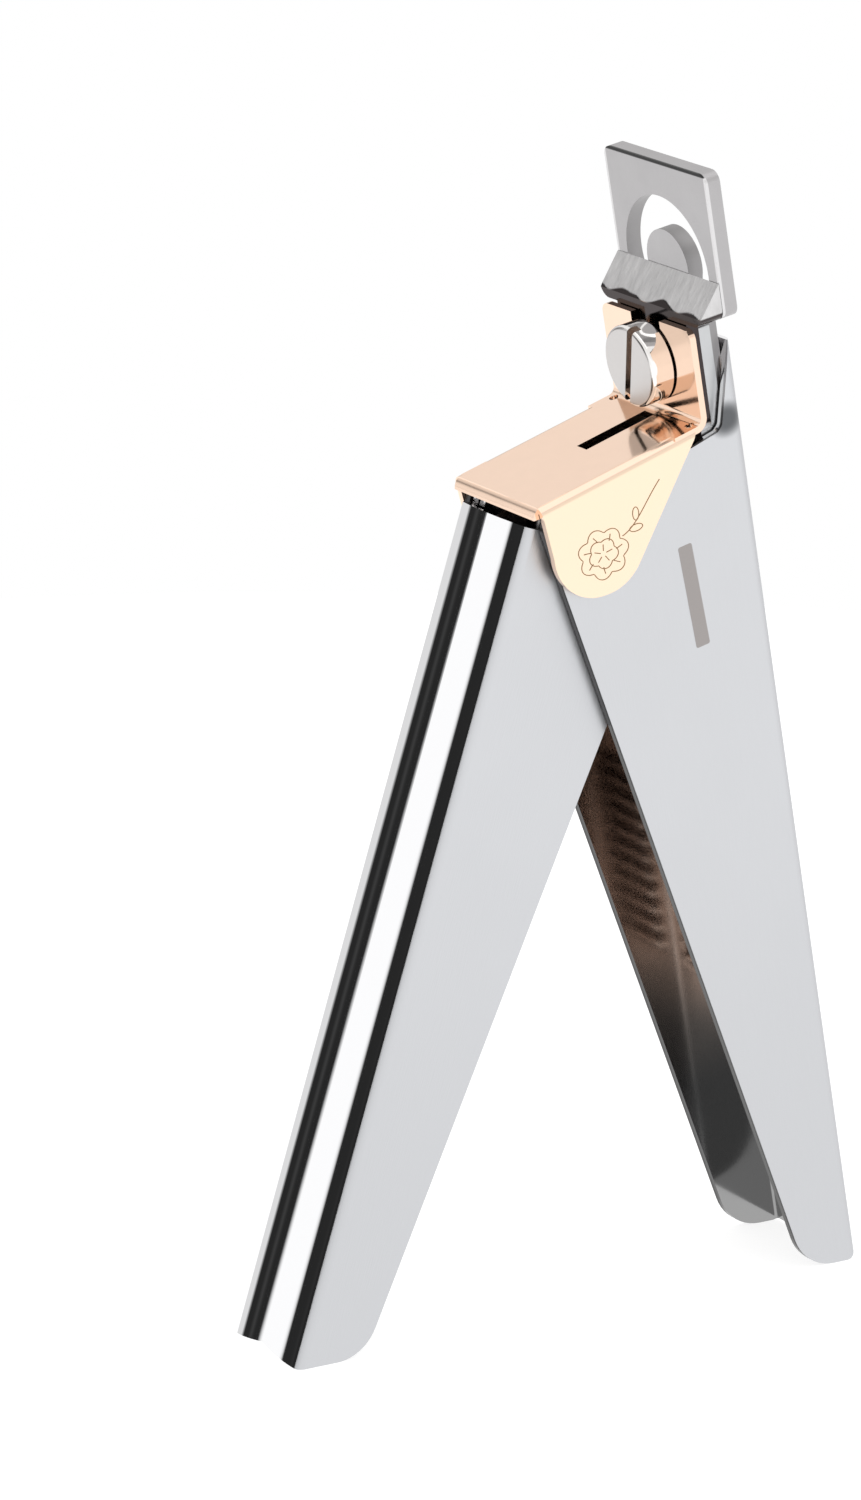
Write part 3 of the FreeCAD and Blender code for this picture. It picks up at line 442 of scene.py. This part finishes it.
def tube(name, lines, radius, sides, material):
    """Round wire along one or more lines of points, closed at both ends, as one mesh."""
    verts, faces = [], []
    for line in lines:
        points = [Vector(p) for p in line]
        lift = Vector((0.0, 1.0, 0.0))
        base = len(verts)
        for index, point in enumerate(points):
            ahead = points[min(index + 1, len(points) - 1)] - points[max(index - 1, 0)]
            ahead.normalize()
            lift = (lift - ahead * lift.dot(ahead))
            if lift.length < 1e-6:
                lift = ahead.orthogonal()
            lift.normalize()
            out = ahead.cross(lift)
            for side in range(sides):
                angle = 2 * math.pi * side / sides
                verts.append(point + (lift * math.cos(angle) + out * math.sin(angle)) * radius)
        rings = len(points)
        for ring in range(rings - 1):
            for side in range(sides):
                a = base + ring * sides + side
                b = base + ring * sides + (side + 1) % sides
                faces.append((a, b, b + sides, a + sides))
        faces.append(tuple(base + side for side in reversed(range(sides))))
        faces.append(tuple(base + (rings - 1) * sides + side for side in range(sides)))
    mesh = bpy.data.meshes.new(name)
    mesh.from_pydata([tuple(v) for v in verts], [], faces)
    mesh.validate()
    mesh.update()
    for face in mesh.polygons:
        face.use_smooth = len(face.vertices) == 4
    mesh.materials.append(material)
    thing = bpy.data.objects.new(name, mesh)
    bpy.context.scene.collection.objects.link(thing)
    return thing


def in_body(x, y, z):
    """Point given in the outer handle's frame, in millimetres."""
    return BODY_FRAME @ Vector((x * MM, y * MM, z * MM))


# Torsion spring, in millimetres: its coil starts near the middle of the pin and runs to the near side.
COIL_RADIUS = 3.7
COIL_TURNS = 3.29
COIL_PITCH = 1.12
COIL_START = -1.6
COIL_ANGLE = math.radians(35.7)
COIL_STEPS = 160
BODY_LEG = 29.8
LEVER_LEG = 18.85
LEG_STEPS = 24
WIRE_RADIUS = 0.5
WIRE_SIDES = 12


def return_spring():
    """Torsion spring on the near bush, with a leg along each handle."""
    def on_coil(turns):
        angle = COIL_ANGLE + 2 * math.pi * turns
        return angle, COIL_START - COIL_PITCH * turns

    def leg(turns, way, length):
        angle, across = on_coil(turns)
        x, z = COIL_RADIUS * math.cos(angle), COIL_RADIUS * math.sin(angle)
        along = (-math.sin(angle) * way, math.cos(angle) * way)
        reaches = [length * i / LEG_STEPS for i in range(1, LEG_STEPS + 1)]
        return [in_body(x + along[0] * reach, across, z + along[1] * reach) for reach in reaches]

    points = list(reversed(leg(0, -1, BODY_LEG)))
    for i in range(COIL_STEPS + 1):
        angle, across = on_coil(COIL_TURNS * i / COIL_STEPS)
        points.append(in_body(COIL_RADIUS * math.cos(angle), across, COIL_RADIUS * math.sin(angle)))
    points += leg(COIL_TURNS, 1, LEVER_LEG)
    steel = plain_steel("spring_steel", (0.45, 0.45, 0.46), 0.22, 0.40, (2, 2, 0.4))
    wire = tube("torsion_spring", [points], WIRE_RADIUS * MM, WIRE_SIDES, steel)
    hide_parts("return_spring")
    down = points[-1] - HINGE
    down.y = 0
    down.normalize()
    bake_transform(wire)


# Marks --------------------------------------------------------------------------------------------
# Places are in millimetres from the hinge. The faces are the flaps' outer faces and the side plate's.

FLAP_FACE = 9.2
SIDE_FACE = 8.3

BLOSSOM_CENTRE = (0.5, -1.3)
BLOSSOM_SIZE = 1.2
BLOSSOM_HEIGHT = 0.88
ENGRAVED_RADIUS = 0.06

# Rings of petals as radius, petals and phase; creases as count, first angle, twist and radii; leaves as
# foot, length and direction. Their unit is BLOSSOM_SIZE.
PETAL_RINGS = ((2.9, 7, 0.2), (1.7, 5, 0.7))
CREASES = ((7, 0.1, 0.12, (1.5, 1.9, 2.25)), (5, 0.4, 0.0, (0.35, 0.7, 1.05)))
STEM_FOOT, STEM_RISE = (2.1, 1.5), (4.0, 5.1)
LEAVES = (((2.9, 2.008), 1.5, 0.2), ((3.6, 2.89), 1.3, 1.7))
LEAF_HALF = 0.35


def flower_lines(face):
    """Generic blossom with a stem and two leaves, on a flap's outer face."""
    def spot(x, z):
        return HINGE + Vector(((BLOSSOM_CENTRE[0] + BLOSSOM_SIZE * x) * MM, face * MM,
                               (BLOSSOM_CENTRE[1] + BLOSSOM_SIZE * z) * MM))

    def round_spot(radius, angle):
        return spot(radius * math.cos(angle), BLOSSOM_HEIGHT * radius * math.sin(angle))

    def petal_ring(reach, petals, phase, steps=84):
        outline = []
        for i in range(steps + 1):
            angle = 2 * math.pi * i / steps
            scallop = 0.80 + 0.20 * abs(math.sin(petals * (angle + phase) / 2))
            outline.append(round_spot(reach * scallop, angle))
        return outline

    def stem(steps=24):
        outline = []
        for i in range(steps + 1):
            share = i / steps
            bow = math.sin(math.pi * share) * (1 - share)
            outline.append(spot(STEM_FOOT[0] + STEM_RISE[0] * share,
                                STEM_FOOT[1] + STEM_RISE[1] * share - bow))
        return outline

    def leaf(foot, length, turn, steps=20):
        outline = []
        for i in range(steps + 1):
            angle = 2 * math.pi * i / steps
            along = length * (1 - math.cos(angle)) / 2
            wide = LEAF_HALF * math.sin(angle)
            outline.append(spot(foot[0] + along * math.cos(turn) - wide * math.sin(turn),
                                foot[1] + along * math.sin(turn) + wide * math.cos(turn)))
        return outline

    lines = [petal_ring(*ring) for ring in PETAL_RINGS]
    for count, first, twist, radii in CREASES:
        for index in range(count):
            angle = 2 * math.pi * index / count + first
            lines.append([round_spot(radius, angle + twist * radius) for radius in radii])
    lines.append(stem())
    lines += [leaf(*shape) for shape in LEAVES]
    return lines


def flowers():
    ink = etched_metal("engraved_line", (0.42, 0.27, 0.15), 2.0)
    for name, face in (("flower_mark_near", -FLAP_FACE), ("flower_mark_far", FLAP_FACE)):
        mark = tube(name, flower_lines(face), ENGRAVED_RADIUS * MM, 6, ink)
        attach(mark, "body")


BAR_FOOT = Vector((15.5, -14.2))
BAR_HEAD = Vector((12.3, -1.9))
BAR_HALF = 0.95
BAR_CORNER = 0.25
BAR_SINK, BAR_RISE = 0.02, 0.015


def etched_bar():
    """Plain etched bar on the near side plate, with a shallow rounded outline and no lettering."""
    length = (BAR_HEAD - BAR_FOOT).length
    along = (BAR_HEAD - BAR_FOOT).normalized()
    over = Vector((along.y, -along.x))
    wide = BAR_HALF - BAR_CORNER
    top, bottom = length - BAR_CORNER, BAR_CORNER
    outline = []
    corners = ((wide, top, 0), (-wide, top, 90), (-wide, bottom, 180), (wide, bottom, 270))
    for middle, height, first in corners:
        for step in range(5):
            angle = math.radians(first + 22.5 * step)
            outline.append(BAR_FOOT + over * (middle + BAR_CORNER * math.cos(angle))
                           + along * (height + BAR_CORNER * math.sin(angle)))
    verts = []
    for depth in (SIDE_FACE - BAR_SINK, SIDE_FACE + BAR_RISE):
        verts += [tuple(HINGE + Vector((p.x * MM, -depth * MM, p.y * MM))) for p in outline]
    count = len(outline)
    faces = [tuple(range(count)), tuple(reversed(range(count, 2 * count)))]
    faces += [(i, i + count, (i + 1) % count + count, (i + 1) % count) for i in range(count)]
    mesh = bpy.data.meshes.new("etched_bar")
    mesh.from_pydata(verts, [], faces)
    mesh.validate()
    mesh.materials.append(etched_metal("etched_steel", (0.46, 0.43, 0.42), 3.0))
    bar = bpy.data.objects.new("etched_bar", mesh)
    bpy.context.scene.collection.objects.link(bar)
    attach(bar, "body")


# Studio -------------------------------------------------------------------------------------------

EYE = Vector((-0.40466, -0.59840, 0.27890))
EYE_RIGHT = Vector((0.84407, -0.53559, 0.02628))
EYE_UP = Vector((0.12978, 0.25160, 0.95909))
LENS_MM = 156
SENSOR_MM = 36

FLOOR_REACH = 0.32
FLOOR_GLOW = 0.86

# Brightness of the studio round the tool, by compass angle in degrees from +x towards +y.
WALLS = [
    (-180, 0.02), (-176, 0.02), (-170, 0.95), (-120, 1.15), (-40, 1.2), (0, 0.9), (40, 0.72),
    (107, 0.76), (109, 0.020), (114, 0.022), (116.5, 0.05), (119, 0.022), (122.5, 0.02), (124, 1.05),
    (144.5, 1.05), (146, 0.02), (151, 0.022), (154, 0.055), (157, 0.02), (180, 0.02),
]
GLOW = 1.25

# Above and below the walls, by the height of the view's direction.
CEILING, CEILING_RISE = (0.76, 0.755, 0.75, 1), (0.20, 0.50)
GROUND, GROUND_RISE = (0.95, 0.95, 0.95, 1), (-0.16, -0.26)


def camera():
    """Long lens, a little above the tool and to its left, level with its middle."""
    lens = bpy.data.cameras.new("camera")
    lens.lens = LENS_MM
    lens.sensor_width = SENSOR_MM
    lens.clip_start, lens.clip_end = 0.01, 50
    eye = bpy.data.objects.new("camera", lens)
    turn = Matrix((EYE_RIGHT, EYE_UP, EYE_RIGHT.cross(EYE_UP))).transposed()
    eye.matrix_world = Matrix.Translation(EYE) @ turn.to_4x4()
    bpy.context.scene.collection.objects.link(eye)
    bpy.context.scene.camera = eye


def floor():
    """Round pale floor, which glows a little so that it stays white under the tool."""
    mesh = bpy.data.meshes.new("floor")
    count = 64
    angles = [2 * math.pi * i / count for i in range(count)]
    rim = [(FLOOR_REACH * math.cos(angle), FLOOR_REACH * math.sin(angle), 0) for angle in angles]
    mesh.from_pydata(rim, [], [tuple(range(count))])
    disc = bpy.data.objects.new("floor", mesh)
    bpy.context.scene.collection.objects.link(disc)
    disc.visible_glossy = False
    n = Nodes("floor_paper")
    speckle = n.noise(n.place, 900.0, 2.0)
    n.paint(n.shader.inputs["Emission Color"], (1, 1, 1))
    n.feed(n.shader.inputs["Emission Strength"], FLOOR_GLOW)
    n.feed(n.shader.inputs["Specular IOR Level"], 0.0)
    mesh.materials.append(n.finish(n.tint(speckle, (0.34, 0.34, 0.34), (0.36, 0.36, 0.36)), 0.9, 0.0))


def studio_world():
    """White surroundings with upright dark screens, which the polished faces show as bands."""
    world = bpy.data.worlds.new("studio")
    bpy.context.scene.world = world
    world.use_nodes = True
    tree = world.node_tree
    tree.nodes.clear()
    add = tree.nodes.new
    link = tree.links.new

    def spread(value, low, high, kind="LINEAR"):
        """Maps low to 0 and high to 1."""
        node = add("ShaderNodeMapRange")
        node.interpolation_type = kind
        node.inputs["From Min"].default_value = low
        node.inputs["From Max"].default_value = high
        link(value, node.inputs["Value"])
        return node.outputs["Result"]

    def over(factor, below, colour):
        """Mixes a plain colour over another one."""
        node = add("ShaderNodeMix")
        node.data_type = "RGBA"
        link(factor, node.inputs[0])
        link(below, node.inputs[6])
        node.inputs[7].default_value = colour
        return node.outputs[2]

    def background(strength):
        node = add("ShaderNodeBackground")
        node.inputs["Strength"].default_value = strength
        return node

    split = add("ShaderNodeSeparateXYZ")
    link(add("ShaderNodeTexCoord").outputs["Generated"], split.inputs[0])
    height = split.outputs["Z"]
    angle = add("ShaderNodeMath")
    angle.operation = "ARCTAN2"
    link(split.outputs["Y"], angle.inputs[0])
    link(split.outputs["X"], angle.inputs[1])
    ramp = add("ShaderNodeValToRGB")
    link(spread(angle.outputs[0], -math.pi, math.pi), ramp.inputs["Fac"])
    elements = ramp.color_ramp.elements
    while len(elements) > 1:
        elements.remove(elements[-1])
    for index, (degrees, level) in enumerate(WALLS):
        place = (degrees + 180) / 360
        stop = elements[0] if index == 0 else elements.new(place)
        stop.position = place
        grey = level / GLOW
        stop.color = (grey, grey, grey, 1)
    sky = over(spread(height, *CEILING_RISE, "SMOOTHSTEP"), ramp.outputs["Color"], CEILING)
    sky = over(spread(height, *GROUND_RISE, "SMOOTHSTEP"), sky, GROUND)
    lit = background(GLOW)
    link(sky, lit.inputs["Color"])
    plain = background(1.0)
    plain.inputs["Color"].default_value = (1, 1, 1, 1)
    mix = add("ShaderNodeMixShader")
    link(add("ShaderNodeLightPath").outputs["Is Camera Ray"], mix.inputs["Fac"])
    link(lit.outputs[0], mix.inputs[1])
    link(plain.outputs[0], mix.inputs[2])
    link(mix.outputs[0], add("ShaderNodeOutputWorld").inputs["Surface"])


def soft_light(name, place, size, power):
    """Large square softbox, unseen by the camera."""
    target = (CAD_LOW + CAD_HIGH) / 2
    lamp = bpy.data.lights.new(name, "AREA")
    lamp.shape = "SQUARE"
    lamp.size = size
    lamp.energy = power
    thing = bpy.data.objects.new(name, lamp)
    thing.location = place
    thing.rotation_euler = (target - Vector(place)).to_track_quat("-Z", "Y").to_euler()
    thing.visible_camera = False
    bpy.context.scene.collection.objects.link(thing)


bpy.context.scene.view_settings.view_transform = "Standard"
camera()
floor()
studio_world()
soft_light("over", (0.1, -0.2, 1.3), 1.2, 1.5)
dress_all()
return_spring()
flowers()
etched_bar()
